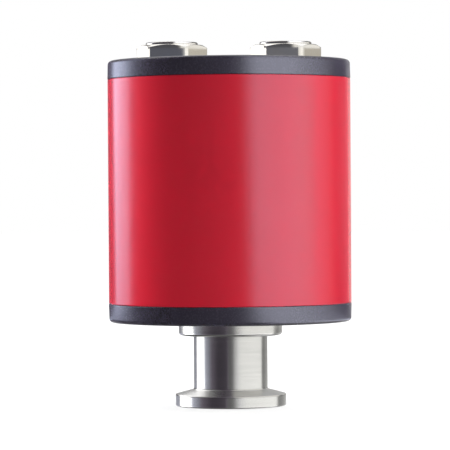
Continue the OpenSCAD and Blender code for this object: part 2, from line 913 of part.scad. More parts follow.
// Hexagon, round rim and threaded body in one turned piece
module socket_shell(side) {
    color([0.78, 0.76, 0.70])
        at_socket_face(side)
            difference() {
                union() {
                    chamfered_hexagon(socket_hex_af, socket_hex_h, true);
                    revolve([
                        [0, -socket_body_len, 0],
                        [socket_body_r, -socket_body_len, socket_rim_edge_r],
                        [socket_body_r, sink, 0],
                        [socket_rim_d / 2, sink, 0],
                        [socket_rim_d / 2, socket_rim_z, socket_rim_edge_r],
                        [0, socket_rim_z, 0]
                    ]);
                }
                translate([0, 0, -socket_body_len]) hole(socket_bore_d, socket_body_len + socket_rim_z);
                translate([0, 0, socket_rim_z - socket_mouth_chamfer])
                    cylinder(
                        d1 = socket_bore_d,
                        d2 = socket_bore_d + 4 * socket_mouth_chamfer,
                        h = 2 * socket_mouth_chamfer
                    );
            }
}

// Contact carrier with a coding groove and five contact holes, pressed into the shell
module socket_insert(side) {
    foot_r = socket_bore_d / 2 - fit_gap;
    color([0.11, 0.11, 0.12])
        at_socket_face(side)
            difference() {
                revolve([
                    [0, -socket_body_len, 0],
                    [foot_r, -socket_body_len, 0],
                    [foot_r, insert_foot_z, 0],
                    [insert_d / 2, insert_foot_z, 0],
                    [insert_d / 2, insert_face_z, insert_edge_r],
                    [0, insert_face_z, 0]
                ]);
                at_contacts()
                    translate([0, 0, -socket_body_len])
                        hole(contact_d + 2 * fit_gap, socket_body_len + insert_face_z);
                translate([-key_w / 2, insert_d / 2 - key_depth, insert_foot_z])
                    cube([key_w, key_depth + cut, insert_face_z - insert_foot_z + cut]);
            }
}

// Five sleeve contacts whose tails are soldered into the connector board
module socket_contacts(side) {
    top_z = insert_face_z - contact_recess;
    tail_z = connector_board_z - tail_stick_out - cap_top_z;
    color([0.83, 0.69, 0.36])
        at_socket_face(side)
            at_contacts() {
                difference() {
                    translate([0, 0, -socket_body_len])
                        cylinder(d = contact_d, h = socket_body_len + top_z);
                    translate([0, 0, top_z - contact_bore_depth])
                        cylinder(d = contact_bore_d, h = contact_bore_depth + cut);
                }
                translate([0, 0, tail_z]) cylinder(d = tail_d, h = sink - socket_body_len - tail_z);
            }
}

module socket_seal(side) {
    color([0.08, 0.08, 0.08])
        at_socket_face(side)
            translate([0, 0, -socket_seal_cord * seal_squeeze / 2])
                squeezed_ring((socket_hole_r + socket_seal_r) / 2, socket_seal_cord, false);
}

module socket_nut(side) {
    color([0.78, 0.76, 0.70])
        at_socket_face(side)
            translate([0, 0, -cap_plate_t])
                mirror([0, 0, 1])
                    difference() {
                        chamfered_hexagon(socket_nut_af, socket_nut_h);
                        hole(socket_body_d + 2 * fit_gap, socket_nut_h);
                    }
}

flange_body();
feedthrough_header();
glass_seals();
filament_posts();
filament();
collar_seal();
lower_cap();
lower_cap_seal();
base_plate();
spigot_nut();
housing_sleeve();
upper_cap();
upper_cap_seal();
cap_screws();
lower_columns();
middle_columns();
upper_columns();
sensor_board();
main_board();
connector_board();
temperature_probe();
bridge_amplifiers();
microcontroller();
power_converter();
electrolytic_capacitors();
lower_link_socket();
lower_link_bar();
lower_link_pins();
upper_link_socket();
upper_link_bar();
upper_link_pins();
socket_shell(-1);  // left_socket_shell
socket_insert(-1);  // left_socket_insert
socket_contacts(-1);  // left_socket_contacts
socket_seal(-1);  // left_socket_seal
socket_nut(-1);  // left_socket_nut
socket_shell(1);  // right_socket_shell
socket_insert(1);  // right_socket_insert
socket_contacts(1);  // right_socket_contacts
socket_seal(1);  // right_socket_seal
socket_nut(1);  // right_socket_nut
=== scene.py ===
"""Looks of the Pirani vacuum gauge: finishes, screw threads, studio and camera round its CAD frame."""

from __future__ import annotations

import logging
import math
from abc import ABC, abstractmethod
from dataclasses import dataclass
from enum import Enum
from typing import Any, ClassVar, Iterator, Mapping, Sequence

import bmesh
import bpy
from mathutils import Euler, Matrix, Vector

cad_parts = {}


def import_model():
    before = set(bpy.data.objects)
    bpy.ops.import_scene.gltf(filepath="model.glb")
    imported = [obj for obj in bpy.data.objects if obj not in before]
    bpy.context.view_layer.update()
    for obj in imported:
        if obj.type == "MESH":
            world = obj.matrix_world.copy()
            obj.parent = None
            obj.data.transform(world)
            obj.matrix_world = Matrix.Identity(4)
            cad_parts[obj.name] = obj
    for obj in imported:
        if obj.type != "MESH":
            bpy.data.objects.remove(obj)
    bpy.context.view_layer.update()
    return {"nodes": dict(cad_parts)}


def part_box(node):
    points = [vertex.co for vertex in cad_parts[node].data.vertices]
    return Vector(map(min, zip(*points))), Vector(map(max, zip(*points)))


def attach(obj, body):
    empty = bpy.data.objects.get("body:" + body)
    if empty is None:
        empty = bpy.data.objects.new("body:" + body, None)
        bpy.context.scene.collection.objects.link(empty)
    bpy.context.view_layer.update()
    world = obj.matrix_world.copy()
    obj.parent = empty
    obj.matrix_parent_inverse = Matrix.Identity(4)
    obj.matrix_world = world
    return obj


LOG = logging.getLogger("vacuum_gauge")
MM = 0.001
BODY = "root"

Colour = tuple[float, float, float]
Span = tuple[float, float]
Piece = bpy.types.Object
Material = bpy.types.Material
Tree = bpy.types.NodeTree
Socket = bpy.types.NodeSocket
Feed = Socket | float | Sequence[float]
Tones = tuple[Span | tuple[float, float, Colour], ...]


class Side(Enum):
    """The two cable sockets, by the side of the gauge that they stand on."""

    LEFT = "left"
    RIGHT = "right"


def rgba(colour: Colour) -> tuple[float, float, float, float]:
    """Returns a colour with full alpha."""
    return (*colour, 1.0)


def scaled(colour: Colour, gain: float, lift: float = 0.0) -> Colour:
    """Returns a colour made paler or darker, with no part above 1."""
    return tuple(min(1.0, gain * part + lift) for part in colour)


class Graph:
    """Adds and joins the nodes of one shader tree."""

    def __init__(self, tree: Tree) -> None:
        """Starts on the node tree of a material, a world or a group."""
        self.tree = tree

    def add(self, kind: str, inputs: Mapping[Any, Feed] | None = None, **settings: Any) -> bpy.types.Node:
        """Makes one node.

        Args:
            kind: Blender's name for the node's type.
            inputs: A value or another node's output for each input, by name or number.
            **settings: Properties of the node itself.

        Returns:
            The new node.
        """
        node = self.tree.nodes.new(kind)
        for name, value in settings.items():
            setattr(node, name, value)
        for key, value in (inputs or {}).items():
            self.feed(node.inputs[key], value)
        return node

    def feed(self, socket: Socket, value: Feed) -> None:
        """Links an output to an input, or sets the input's own value.

        Args:
            socket: The input.
            value: An output of another node, or a plain value.
        """
        if isinstance(value, Socket):
            self.tree.links.new(value, socket)
        else:
            socket.default_value = value

    def math(self, operation: str, *values: Feed) -> Socket:
        """Returns the result of a Math node with an operation on values."""
        return self.add("ShaderNodeMath", dict(enumerate(values)), operation=operation).outputs[0]

    def spread(self, value: Feed, source: Span, target: Span = (0.0, 1.0)) -> Socket:
        """Maps a value from one range to another, and holds it inside the second.

        Args:
            value: The value to map.
            source: The range that it comes in.
            target: The range that it goes out in.

        Returns:
            The mapped value.
        """
        node = self.add("ShaderNodeMapRange", {0: value}, clamp=True)
        for index, bound in enumerate((*source, *target), start=1):
            node.inputs[index].default_value = bound
        return node.outputs[0]

    def mix(self, share: Feed, first: Feed, second: Feed) -> Socket:
        """Blends two colours.

        Args:
            share: How much of the second colour shows.
            first: The colour at a share of 0.
            second: The colour at a share of 1.

        Returns:
            The blended colour.
        """
        node = self.add("ShaderNodeMix", data_type="RGBA")
        for index, value in ((0, share), (6, first), (7, second)):
            self.feed(node.inputs[index], value)
        return node.outputs[2]

    def tint(self, base: Feed, mask: Feed, share: float, colour: Colour) -> Socket:
        """Returns a base colour with a share of another where a mask lies."""
        return self.mix(self.math("MULTIPLY", mask, share), base, rgba(colour))

    def vary(self, value: Feed, mask: Feed, amount: float) -> Socket:
        """Returns a value raised by an amount where a mask lies."""
        return self.math("MULTIPLY_ADD", mask, amount, value)

    def noise(self, vector: Feed, scale: Feed, detail: float = 2.0, **inputs: Feed) -> Socket:
        """Adds a three-dimensional noise.

        Args:
            vector: Where it is read.
            scale: Its cells to the metre.
            detail: Its octaves.
            **inputs: Further inputs by name.

        Returns:
            Its value.
        """
        feeds: dict[str, Feed] = {"Vector": vector, "Scale": scale, "Detail": detail, **inputs}
        return self.add("ShaderNodeTexNoise", feeds).outputs[0]

    def place(self) -> Socket:
        """Returns the position on the piece, in metres from the piece's own origin."""
        return self.add("ShaderNodeTexCoord").outputs["Object"]

    def normal(self) -> Socket:
        """Returns the true normal of the surface."""
        return self.add("ShaderNodeNewGeometry").outputs["Normal"]

    def upward(self) -> Socket:
        """Returns how far the surface looks up, from -1 to 1."""
        return self.add("ShaderNodeSeparateXYZ", {0: self.normal()}).outputs[2]


def empty_tree(owner: Material | bpy.types.World) -> Tree:
    """Gives a material or the world an empty shader tree.

    Args:
        owner: The material or the world.

    Returns:
        Its tree.
    """
    owner.use_nodes = True
    owner.node_tree.nodes.clear()
    return owner.node_tree


def show_mesh(name: str, drawn: bmesh.types.BMesh, material: Material) -> Piece:
    """Puts a drawn mesh into the scene.

    Args:
        name: The name of the piece.
        drawn: Its mesh, which is used up.
        material: Its material.

    Returns:
        The new piece.
    """
    mesh = bpy.data.meshes.new(name)
    drawn.to_mesh(mesh)
    drawn.free()
    mesh.materials.append(material)
    piece = bpy.data.objects.new(name, mesh)
    bpy.context.scene.collection.objects.link(piece)
    return piece


class Surface(Graph):
    """The shader tree of a material with one Principled shader."""

    def __init__(self, tree: Tree) -> None:
        """Starts on a material's empty tree."""
        super().__init__(tree)
        self.shader = self.add("ShaderNodeBsdfPrincipled")
        self.add("ShaderNodeOutputMaterial", {"Surface": self.shader.outputs[0]})

    def give(self, inputs: Mapping[str, Feed]) -> None:
        """Feeds inputs of the shader, by name."""
        for name, value in inputs.items():
            self.feed(self.shader.inputs[name], value)

    def relief(self, height: Feed, depth: float, edge: float = 0.0) -> None:
        """Gives the surface a relief and soft edges.

        Args:
            height: The relief, from 0 to 1.
            depth: The relief's depth in metres.
            edge: The radius to which sharp edges look rounded, in metres, or 0 for none.
        """
        bump = self.add("ShaderNodeBump", {"Height": height, "Strength": 1.0, "Distance": depth})
        if edge:
            rounded = self.add("ShaderNodeBevel", {"Radius": edge}, samples=6)
            self.feed(bump.inputs["Normal"], rounded.outputs[0])
        self.give({"Normal": bump.outputs[0]})


@dataclass
class Effect(ABC):
    """A surface effect shared by several finishes, as one shader node group.

    The group's only input is the size of the effect's marks in metres.
    """

    graph: Graph
    size: Socket
    name: ClassVar[str]
    outputs: ClassVar[tuple[str, ...]]

    @classmethod
    def use(cls, graph: Graph, size: float) -> dict[str, Socket]:
        """Places the effect in a material.

        Args:
            graph: The material's graph.
            size: The size of the effect's marks in metres.

        Returns:
            The effect's outputs by name.
        """
        group = bpy.data.node_groups.get(cls.name) or cls._make()
        node = graph.add("ShaderNodeGroup", node_tree=group)
        node.inputs["Size"].default_value = size
        return {label: node.outputs[label] for label in cls.outputs}

    @classmethod
    def _make(cls) -> Tree:
        """Makes the effect's node group.

        Returns:
            The group.
        """
        tree = bpy.data.node_groups.new(cls.name, "ShaderNodeTree")
        for label, way in (("Size", "INPUT"), *((label, "OUTPUT") for label in cls.outputs)):
            tree.interface.new_socket(label, in_out=way, socket_type="NodeSocketFloat")
        graph = Graph(tree)
        size = graph.add("NodeGroupInput").outputs["Size"]
        graph.add("NodeGroupOutput", cls(graph, size).draw())
        return tree

    @abstractmethod
    def draw(self) -> dict[str, Socket]:
        """Draws the effect, and returns the group's outputs by name."""


class LatheLines(Effect):
    """Fine rings that a turning tool leaves round the gauge's axis.

    Each layer has a width in pitches and a number of octaves.
    """

    name = "lathe lines"
    outputs = ("Height", "Streak")
    layers: ClassVar[dict[str, Span]] = {"Height": (1.0, 3.0), "Streak": (8.0, 2.0)}
    breaks: ClassVar[float] = 0.9
    least_radius: ClassVar[float] = 0.001 * MM

    def draw(self) -> dict[str, Socket]:
        """Draws rings that depend on radius and height, and break up slowly round the axis.

        Returns:
            Its outputs by name.
        """
        graph = self.graph
        x, y, z = graph.add("ShaderNodeSeparateXYZ", {0: graph.place()}).outputs
        square = graph.math("MULTIPLY_ADD", x, x, graph.math("MULTIPLY", y, y))
        radius = graph.math("SQRT", square)
        safe = graph.math("MAXIMUM", radius, self.least_radius)
        around = [graph.math("MULTIPLY", graph.math("DIVIDE", part, safe), self.breaks) for part in (x, y)]
        made: dict[str, Socket] = {}
        for label, (width, octaves) in self.layers.items():
            pitch = graph.math("MULTIPLY", self.size, width)
            out = graph.math("DIVIDE", radius, pitch)
            spot = graph.add("ShaderNodeCombineXYZ", dict(enumerate((out, *around)))).outputs[0]
            feeds = {"Vector": spot, "W": graph.math("DIVIDE", z, pitch), "Scale": 1.0, "Detail": octaves}
            made[label] = graph.add("ShaderNodeTexNoise", feeds, noise_dimensions="4D").outputs[0]
        return made


class MouldGrain(Effect):
    """The fine pebbled skin of a spark-eroded mould."""

    name = "mould grain"
    outputs = ("Height", "Speck_and_glint")
    finer: ClassVar[float] = 2.7
    speck_and_glint_heights: ClassVar[Span] = (0.72, 1.0)

    def draw(self) -> dict[str, Socket]:
        """Draws coarse pebbles with finer ones on them, and specks where the pebbles stand highest, which
        also serve as painted glints.

        Returns:
            Its outputs by name.
        """
        graph = self.graph
        place = graph.place()
        scale = graph.math("DIVIDE", 1.0, self.size)
        coarse = graph.noise(place, scale)
        fine = graph.noise(place, graph.math("MULTIPLY", scale, self.finer), detail=1.0)
        height = graph.vary(coarse, fine, amount=0.45)
        return {"Height": height, "Speck_and_glint": graph.spread(height, self.speck_and_glint_heights)}


class Smudges(Effect):
    """Soft cloudy changes in gloss, from handling and uneven drying."""

    name = "smudges"
    outputs = ("Cloud", "Mottle")
    cloud_range: ClassVar[Span] = (0.3, 0.7)
    finer: ClassVar[float] = 10.0

    def draw(self) -> dict[str, Socket]:
        """Draws broad clouds, and a finer mottle.

        Returns:
            Its outputs by name.
        """
        graph = self.graph
        place = graph.place()
        scale = graph.math("DIVIDE", 1.0, self.size)
        cloud = graph.noise(place, scale, detail=3.0, Distortion=0.6)
        mottle = graph.noise(place, graph.math("MULTIPLY", scale, self.finer))
        return {"Cloud": graph.spread(cloud, self.cloud_range), "Mottle": mottle}


class EdgeWear(Effect):
    """A broken line along sharp edges, where a coat is thin or rubbed."""

    name = "edge wear"
    outputs = ("Mask",)
    flat_to_edge: ClassVar[Span] = (0.99, 0.86)
    breaks_per_width: ClassVar[float] = 0.35
    break_range: ClassVar[Span] = (0.35, 0.6)
    break_shares: ClassVar[Span] = (0.15, 1.0)

    def draw(self) -> dict[str, Socket]:
        """Finds edges as places where a rounded normal leaves the true one, and breaks them up.

        Returns:
            Its outputs by name.
        """
        graph = self.graph
        rounded = graph.add("ShaderNodeBevel", {"Radius": self.size}, samples=4).outputs[0]
        normals = {0: rounded, 1: graph.normal()}
        along = graph.add("ShaderNodeVectorMath", normals, operation="DOT_PRODUCT").outputs["Value"]
        edge = graph.spread(along, self.flat_to_edge)
        scale = graph.math("DIVIDE", self.breaks_per_width, self.size)
        breaks = graph.noise(graph.place(), scale, detail=3.0)
        kept = graph.spread(breaks, self.break_range, self.break_shares)
        return {"Mask": graph.math("MULTIPLY", edge, kept)}


class Dust(Effect):
    """A trace of dust on faces that look upwards."""

    name = "dust"
    outputs = ("Mask",)
    drifts_per_grain: ClassVar[float] = 0.05
    steep_to_level: ClassVar[Span] = (0.4, 0.95)
    speck_range: ClassVar[Span] = (0.5, 0.75)
    speck_shares: ClassVar[Span] = (0.1, 1.0)

    def draw(self) -> dict[str, Socket]:
        """Draws specks in loose drifts, more of them the more a face looks up.

        Returns:
            Its outputs by name.
        """
        graph = self.graph
        place = graph.place()
        specks = graph.noise(place, graph.math("DIVIDE", 1.0, self.size))
        drifts = graph.noise(place, graph.math("DIVIDE", self.drifts_per_grain, self.size))
        fall = graph.math("MULTIPLY", graph.spread(graph.upward(), self.steep_to_level), drifts)
        shown = graph.spread(specks, self.speck_range, self.speck_shares)
        return {"Mask": graph.math("MULTIPLY", fall, shown)}


@dataclass(frozen=True)
class Finish(ABC):
    """A surface finish: one material, made on its first use."""

    label: str
    colour: Colour
    roughness: float

    def material(self) -> Material:
        """Makes the finish's material on its first use.

        Returns:
            The material.
        """
        made = bpy.data.materials.get(self.label)
        if not made:
            made = bpy.data.materials.new(self.label)
            self.shade(Surface(empty_tree(made)))
        return made

    @abstractmethod
    def shade(self, skin: Surface) -> None:
        """Draws the finish on the surface of its material."""


@dataclass(frozen=True)
class SatinPaint(Finish):
    """A sprayed and baked paint with a trace of orange peel.

    Its red is darkened where it turns away from the eye, over one range of turns, as painted shade,
    and this painted shade fades again over a second range at the very rim.
    """

    cloud_colour: Colour
    edge_colour: Colour = (0.75, 0.22, 0.22)
    cloud_size: float = 22.0 * MM
    edge: float = 0.15 * MM
    painted_shade_red: float = 0.71
    painted_shade_turns: Span = (0.32, 0.60)
    shade_fade_turns: Span = (0.78, 0.9)
    rim_shade_share: float = 0.3
    sheen: float = 0.54
    sheen_tint: Colour = (0.4, 0.92, 1.0)
    peel_size: float = 1.6 * MM
    peel_depth: float = 0.004 * MM

    def shade(self, skin: Surface) -> None:
        """Paints cloudy red with orange peel, thinner along its edges, with painted shade as it turns away.

        Args:
            skin: The material's surface.
        """
        smudges = Smudges.use(skin, self.cloud_size)
        worn = EdgeWear.use(skin, self.edge)["Mask"]
        base = skin.tint(rgba(self.colour), smudges["Cloud"], share=0.5, colour=self.cloud_colour)
        base = skin.tint(base, worn, share=0.25, colour=self.edge_colour)
        # Painted shade: the red darkens where the surface turns away from the eye, and less so again at the
        # very rim.
        glance = skin.add("ShaderNodeLayerWeight", {"Blend": 0.5}).outputs["Facing"]
        shade_before_rim = skin.spread(glance, self.shade_fade_turns, (1.0, self.rim_shade_share))
        turned = skin.math("MULTIPLY", skin.spread(glance, self.painted_shade_turns), shade_before_rim)
        red, green, blue = self.colour
        base = skin.mix(turned, base, rgba((self.painted_shade_red * red, green, blue)))
        rough = skin.vary(self.roughness, smudges["Cloud"], amount=0.05)
        rough = skin.vary(rough, smudges["Mottle"], amount=0.03)
        sheen = {"Specular IOR Level": self.sheen, "Specular Tint": rgba(self.sheen_tint)}
        skin.give({"Base Color": base, "Roughness": rough, **sheen})
        skin.relief(skin.noise(skin.place(), 1.0 / self.peel_size), self.peel_depth)


@dataclass(frozen=True)
class MouldedPlastic(Finish):
    """A moulded plastic with a grained skin."""

    grain: float = 0.3 * MM
    depth: float = 0.02 * MM
    edge: float = 0.12 * MM
    gloss: float = 0.5
    cloud_size: float = 16.0 * MM
    dust_grain: float = 0.4 * MM
    dust_colour: Colour = (0.5, 0.48, 0.45)

    def shade(self, skin: Surface) -> None:
        """Grains the skin, paints glints on its highest pebbles, polishes its edges a little and lets dust
        settle on it.

        Args:
            skin: The material's surface.
        """
        grain = MouldGrain.use(skin, self.grain)
        cloud = Smudges.use(skin, self.cloud_size)["Cloud"]
        worn = EdgeWear.use(skin, 2.0 * self.edge)["Mask"]
        dust = Dust.use(skin, self.dust_grain)["Mask"]
        # Painted highlight: the highest pebbles are painted paler, as glints.
        pale = scaled(self.colour, gain=1.9, lift=0.01)
        base = skin.tint(rgba(self.colour), grain["Speck_and_glint"], share=0.6, colour=pale)
        base = skin.tint(base, dust, share=0.07, colour=self.dust_colour)
        rough = skin.vary(skin.vary(self.roughness, cloud, amount=0.06), worn, amount=-0.12)
        skin.give({"Base Color": base, "Roughness": rough, "Specular IOR Level": self.gloss})
        skin.relief(grain["Height"], self.depth, self.edge)


@dataclass(frozen=True)
class TurnedMetal(Finish):
    """A metal that was turned on a lathe, with rings round its axis."""

    pitch: float = 0.09 * MM
    depth: float = 0.00045 * MM
    anisotropy: float = 0.7
    edge: float = 0.08 * MM
    cloud_size: float = 9.0 * MM
    streak_range: Span = (0.35, 0.65)
    faced_range: Span = (0.3, 0.9)

    def shade(self, skin: Surface) -> None:
        """Cuts rings into the metal, and dulls it in clouds and on faces across the axis.

        Args:
            skin: The material's surface.
        """
        lines = LatheLines.use(skin, self.pitch)
        cloud = Smudges.use(skin, self.cloud_size)["Cloud"]
        worn = EdgeWear.use(skin, 2.0 * self.edge)["Mask"]
        dark = rgba(scaled(self.colour, gain=0.955))
        base = skin.mix(skin.spread(lines["Streak"], self.streak_range), dark, rgba(self.colour))
        base = skin.tint(base, worn, share=0.3, colour=scaled(self.colour, gain=1.15))
        faced = skin.spread(skin.math("ABSOLUTE", skin.upward()), self.faced_range)
        rough = skin.vary(self.roughness, lines["Streak"], amount=0.05)
        rough = skin.vary(skin.vary(rough, faced, amount=0.12), cloud, amount=0.05)
        around = skin.add("ShaderNodeTangent", direction_type="RADIAL", axis="Z").outputs[0]
        skin.give({"Base Color": base, "Roughness": rough, "Metallic": 1.0, "Tangent": around})
        skin.give({"Anisotropic": self.anisotropy, "Anisotropic Rotation": 0.25})
        skin.relief(lines["Height"], self.depth, self.edge)


@dataclass(frozen=True)
class PlatedMetal(Finish):
    """A plated metal whose coat is bright on edges and a little milky on its flats."""

    edge: float = 0.4 * MM
    ripple: float = 0.002 * MM
    warmth: Colour = (1.0, 0.98, 0.94)
    edge_colour: Colour = (0.86, 0.84, 0.78)
    cloud_size: float = 5.0 * MM

    def shade(self, skin: Surface) -> None:
        """Mottles the plating, ripples its flats and brightens its edges.

        Args:
            skin: The material's surface.
        """
        smudges = Smudges.use(skin, self.cloud_size)
        worn = EdgeWear.use(skin, 2.0 * self.edge)["Mask"]
        warm = tuple(part * gain for part, gain in zip(self.colour, self.warmth))
        base = skin.mix(smudges["Cloud"], rgba(self.colour), rgba(warm))
        base = skin.tint(base, worn, share=0.35, colour=self.edge_colour)
        rough = skin.vary(self.roughness, smudges["Cloud"], amount=0.07)
        rough = skin.vary(rough, worn, amount=-0.05)
        skin.give({"Base Color": base, "Roughness": rough, "Metallic": 1.0})
        skin.relief(smudges["Mottle"], self.ripple, self.edge)


@dataclass(frozen=True)
class SealRubber(Finish):
    """A soft black rubber with a dull bloom."""

    grain: float = 0.12 * MM
    depth: float = 0.006 * MM
    bloom_size: float = 4.0 * MM
    bloom_colour: Colour = (0.04, 0.04, 0.042)

    def shade(self, skin: Surface) -> None:
        """Greys the rubber in clouds and grains it finely.

        Args:
            skin: The material's surface.
        """
        grain = MouldGrain.use(skin, self.grain)
        smudges = Smudges.use(skin, self.bloom_size)
        base = skin.tint(rgba(self.colour), smudges["Cloud"], share=0.5, colour=self.bloom_colour)
        rough = skin.vary(self.roughness, smudges["Mottle"], amount=0.1)
        skin.give({"Base Color": base, "Roughness": rough})
        skin.relief(grain["Height"], self.depth)


@dataclass(frozen=True)
class SealGlass(Finish):
    """A fused glass bead with small bubbles in it."""

    bubble_spacing: float = 0.5 * MM
    bubble_range: Span = (0.12, 0.3)
    bubble_depth: float = 0.01 * MM

    def shade(self, skin: Surface) -> None:
        """Tints the glass and dots it with bubbles.

        Args:
            skin: The material's surface.
        """
        cells = {"Vector": skin.place(), "Scale": 1.0 / self.bubble_spacing}
        dots = skin.add("ShaderNodeTexVoronoi", cells).outputs[0]
        bubble = skin.spread(dots, self.bubble_range, (1.0, 0.0))
        pale = scaled(self.colour, gain=1.6, lift=0.08)
        base = skin.mix(bubble, rgba(self.colour), rgba(pale))
        rough = skin.vary(self.roughness, bubble, amount=0.2)
        skin.give({"Base Color": base, "Roughness": rough, "IOR": 1.52, "Transmission Weight": 0.6})
        skin.relief(bubble, self.bubble_depth)


@dataclass(frozen=True)
class BoardLaminate(Finish):
    """A circuit board with a green mask over its tracks and a glass-fibre weave."""

    track_colour: Colour
    track_spacing: float = 6.0 * MM
    track_offset: float = 0.37
    threads_per_metre: float = 0.3 / MM
    depth: float = 0.03 * MM
    cloud_size: float = 8.0 * MM

    def shade(self, skin: Surface) -> None:
        """Lays square tracks under the mask, which stand up a little.

        Args:
            skin: The material's surface.
        """
        place = skin.place()
        joints = {"Mortar Size": 0.06, "Mortar Smooth": 0.1}
        grid = {"Vector": place, "Scale": 1.0 / self.track_spacing, **joints}
        tracks = skin.add("ShaderNodeTexBrick", grid, offset=self.track_offset).outputs["Fac"]
        threads = {"Vector": place, "Scale": self.threads_per_metre, "Distortion": 1.0}
        weave = skin.add("ShaderNodeTexWave", threads, bands_direction="DIAGONAL").outputs[1]
        base = skin.tint(rgba(self.colour), weave, share=0.25, colour=self.track_colour)
        base = skin.mix(tracks, base, rgba(self.track_colour))
        cloud = Smudges.use(skin, self.cloud_size)["Cloud"]
        skin.give({"Base Color": base, "Roughness": skin.vary(self.roughness, cloud, amount=0.1)})
        skin.relief(skin.vary(tracks, weave, amount=0.2), self.depth)


@dataclass(frozen=True)
class FiredCeramic(Finish):
    """A white fired ceramic with a chalky skin."""

    grain: float = 0.08 * MM
    depth: float = 0.008 * MM

    def shade(self, skin: Surface) -> None:
        """Speckles the ceramic and grains its skin.

        Args:
            skin: The material's surface.
        """
        grain = MouldGrain.use(skin, self.grain)
        speckle = rgba(scaled(self.colour, gain=0.8))
        base = skin.mix(grain["Speck_and_glint"], rgba(self.colour), speckle)
        rough = skin.vary(self.roughness, grain["Height"], amount=0.1)
        skin.give({"Base Color": base, "Roughness": rough})
        skin.relief(grain["Height"], self.depth)


STAINLESS = TurnedMetal("turned stainless", (0.64, 0.635, 0.625), 0.12)
SLEEVE_PAINT = SatinPaint("red sleeve paint", (0.60, 0.012, 0.029), 0.11, (0.57, 0.011, 0.027))
CAP_PLASTIC = MouldedPlastic(
    "black cap plastic", (0.025, 0.0215, 0.0365), 0.205, 0.45 * MM, 0.017 * MM, gloss=0.93
)
SOCKET_NICKEL = PlatedMetal("nickel plating", (0.70, 0.68, 0.65), 0.13, edge=0.25 * MM)
INSERT_PLASTIC = MouldedPlastic(
    "contact carrier plastic", (0.016, 0.016, 0.018), 0.55, 0.15 * MM, 0.008 * MM, edge=0.06 * MM
)
CONTACT_GOLD = PlatedMetal("gold plating", (0.86, 0.60, 0.22), 0.18, edge=0.04 * MM, ripple=0.001 * MM)
SEAL_RUBBER = SealRubber("seal rubber", (0.012, 0.012, 0.013), 0.65)
SCREW_STEEL = TurnedMetal(
    "screw steel", (0.52, 0.52, 0.51), 0.24, 0.12 * MM, 0.002 * MM, anisotropy=0.2, edge=0.06 * MM
)
HEADER_ALLOY = TurnedMetal(
    "header alloy", (0.48, 0.45, 0.40), 0.28, 0.06 * MM, 0.001 * MM, anisotropy=0.2, edge=0.04 * MM
)
SEAL_GLASS = SealGlass("bead glass", (0.22, 0.38, 0.36), 0.08)
TUNGSTEN = TurnedMetal(
    "filament tungsten", (0.24, 0.24, 0.26), 0.3, 0.03 * MM, 0.0005 * MM, anisotropy=0.0, edge=0.01 * MM
)
PLATE_ALUMINIUM = TurnedMetal(
    "plate aluminium", (0.70, 0.71, 0.72), 0.32, 0.15 * MM, 0.003 * MM, anisotropy=0.3
)
COLUMN_BRASS = TurnedMetal("column brass", (0.72, 0.53, 0.23), 0.28, 0.1 * MM, 0.002 * MM, anisotropy=0.2)
BOARD_LAMINATE = BoardLaminate("board laminate", (0.008, 0.10, 0.032), 0.35, (0.02, 0.17, 0.055))
CHIP_PLASTIC = MouldedPlastic("chip plastic", (0.02, 0.02, 0.022), 0.6, 0.1 * MM, 0.006 * MM, edge=0.05 * MM)
PROBE_CERAMIC = FiredCeramic("probe ceramic", (0.75, 0.72, 0.66), 0.6)


Dressing = dict[Finish, tuple[str, ...]]


class SubAssembly(ABC):
    """A group of CAD nodes that are dressed together, with the pieces built on them."""

    @abstractmethod
    def finishes(self) -> Dressing:
        """Returns the CAD nodes that each finish goes on."""

    def build(self) -> list[Piece]:
        """Builds the pieces that the CAD frame leaves out, and returns them."""
        return []

    def dress(self, nodes: Mapping[str, Piece]) -> None:
        """Puts its finish on each CAD node of the group.

        Args:
            nodes: The CAD nodes by name.
        """
        for finish, names in self.finishes().items():
            for name in names:
                mesh = nodes[name].data
                mesh.materials.clear()
                mesh.materials.append(finish.material())
                LOG.info("%s: %s in %s", type(self).__name__, name, finish.label)


@dataclass
class VacuumPort(SubAssembly):
    """The turned port with its clamp flange."""

    def finishes(self) -> Dressing:
        """Returns the port's finishes."""
        return {STAINLESS: ("flange_body", "spigot_nut"), SEAL_RUBBER: ("collar_seal",)}


@dataclass
class SensorCell(SubAssembly):
    """The filament on its glass-sealed posts, and the compensation probe."""

    def finishes(self) -> Dressing:
        """Returns the sensor's finishes."""
        return {
            HEADER_ALLOY: ("feedthrough_header", "filament_posts"),
            SEAL_GLASS: ("glass_seals",),
            TUNGSTEN: ("filament",),
            PROBE_CERAMIC: ("temperature_probe",),
        }


@dataclass
class Housing(SubAssembly):
    """The painted sleeve between its moulded caps."""

    def finishes(self) -> Dressing:
        """Returns the housing's finishes."""
        return {
            SLEEVE_PAINT: ("housing_sleeve",),
            CAP_PLASTIC: ("lower_cap", "upper_cap"),
            SEAL_RUBBER: ("lower_cap_seal", "upper_cap_seal"),
            SCREW_STEEL: ("cap_screws",),
        }


@dataclass
class BoardStack(SubAssembly):
    """The base plate, columns and circuit boards inside the housing."""

    def finishes(self) -> Dressing:
        """Returns the board stack's finishes."""
        links = ("lower_link", "upper_link")
        return {
            PLATE_ALUMINIUM: ("base_plate", "electrolytic_capacitors"),
            COLUMN_BRASS: ("lower_columns", "middle_columns", "upper_columns"),
            BOARD_LAMINATE: ("sensor_board", "main_board", "connector_board"),
            CHIP_PLASTIC: ("bridge_amplifiers", "microcontroller", "power_converter"),
            INSERT_PLASTIC: tuple(f"{link}_{part}" for link in links for part in ("socket", "bar")),
            CONTACT_GOLD: tuple(f"{link}_pins" for link in links),
        }


